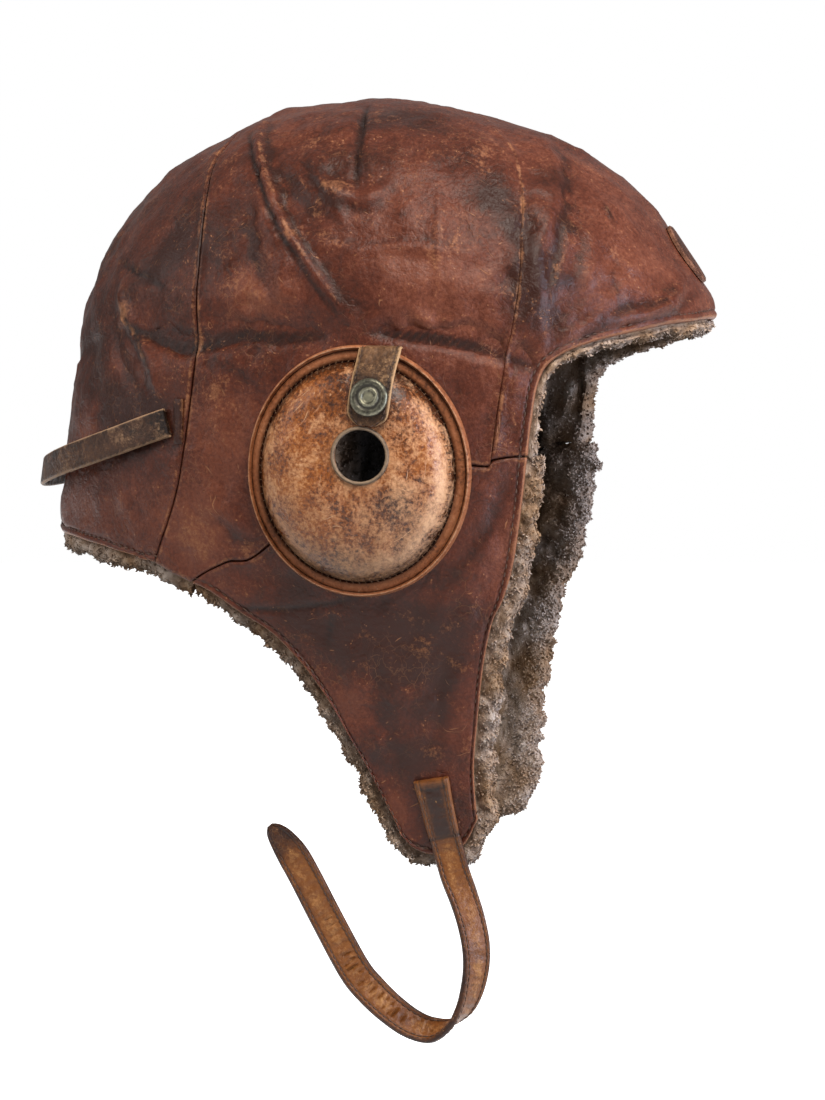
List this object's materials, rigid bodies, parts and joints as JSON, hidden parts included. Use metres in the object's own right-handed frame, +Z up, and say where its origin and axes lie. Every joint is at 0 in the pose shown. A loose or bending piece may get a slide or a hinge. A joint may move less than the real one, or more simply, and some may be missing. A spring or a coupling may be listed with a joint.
{
  "type": "flying helmet",
  "caption": "Leather flying helmet with a wool pile lining, domed ear covers on long ear flaps, a strap round the back and a loose chin strap.",
  "frame": {"origin": "the inside of the lining where the crown of the wearer's head touches it, on the middle plane of the helmet", "axes": "+Z up, -Y towards the brow, -X towards the wearer's right ear; the wearer's head comes in along +Z from below"},
  "size_m": [0.2168, 0.2598, 0.348],
  "materials": {
    "shell_leather": "worn, waxed, red brown",
    "wool_pile": "short curly pile, grey brown",
    "ring_leather": "worn, golden brown",
    "cover_leather": "matt, worn, tan brown",
    "tab_leather": "matt, olive brown",
    "strap_leather": "worn, orange brown",
    "dark_brass": "dark, almost black, with worn edges"
  },
  "bodies": {
    "root": {"front_panel": "shell_leather", "middle_panel": "shell_leather", "back_panel": "shell_leather", "right_ear_flap": "shell_leather", "left_ear_flap": "shell_leather", "crown_lining": "wool_pile", "right_flap_lining": "wool_pile", "left_flap_lining": "wool_pile", "right_ear_ring": "ring_leather", "left_ear_ring": "ring_leather", "right_ear_cover": "cover_leather", "left_ear_cover": "cover_leather", "right_hole_rim": "tab_leather", "left_hole_rim": "tab_leather", "right_ear_tab": "tab_leather", "left_ear_tab": "tab_leather", "right_snap_cap": "dark_brass", "left_snap_cap": "dark_brass", "right_strap_patch": "shell_leather", "left_strap_patch": "shell_leather", "back_strap": "strap_leather", "chin_strap": "strap_leather", "forehead_disc": "cover_leather", "buckle_strap": "strap_leather", "chin_buckle": "dark_brass"}
  },
  "joints": []
}
